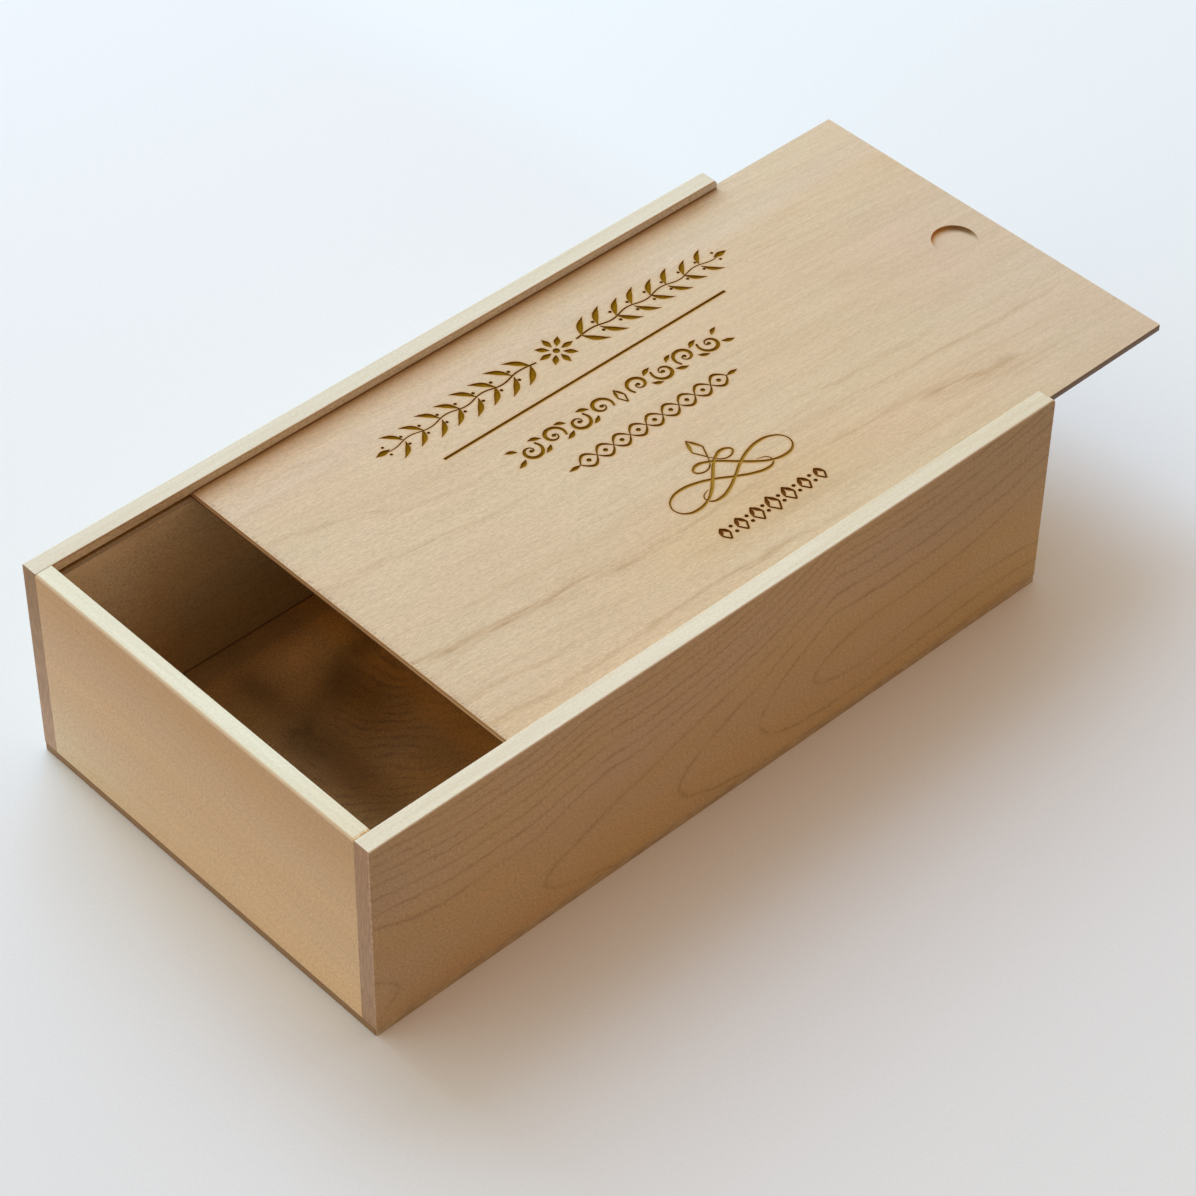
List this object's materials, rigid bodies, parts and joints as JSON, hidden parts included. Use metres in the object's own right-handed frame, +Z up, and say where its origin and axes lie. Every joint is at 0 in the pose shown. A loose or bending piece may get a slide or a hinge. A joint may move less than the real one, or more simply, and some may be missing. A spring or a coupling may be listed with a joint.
{
  "type": "keepsake box",
  "caption": "Rectangular wooden keepsake box with butt-jointed walls, a thin bottom panel and a flat lid that slides in side grooves and has a round thumb recess.",
  "frame": {"origin": "centre of the box's underside, level with what it stands on", "axes": "+X along the box towards the open end, the way the lid slides out; +Y towards the left side wall; +Z up"},
  "size_m": [0.4305, 0.2, 0.1],
  "materials": {
    "wall_wood": "sanded bare wood, fine straight and looped grain",
    "end_wood": "sanded bare wood, faint level grain",
    "bottom_sheet": "bare thin wooden sheet",
    "lid_sheet": "sanded bare thin wooden sheet, engraved ornament burnt brown"
  },
  "bodies": {
    "box": {"left_side": "wall_wood", "right_side": "wall_wood", "closed_end": "end_wood", "open_end": "end_wood", "bottom_panel": "bottom_sheet"},
    "lid": {"lid": "lid_sheet"}
  },
  "joints": [
    {"name": "lid_slide", "type": "slide", "parent": "box", "child": "lid", "axis": [1, 0, 0], "range_m": [-0.0705, 0.3]}
  ]
}
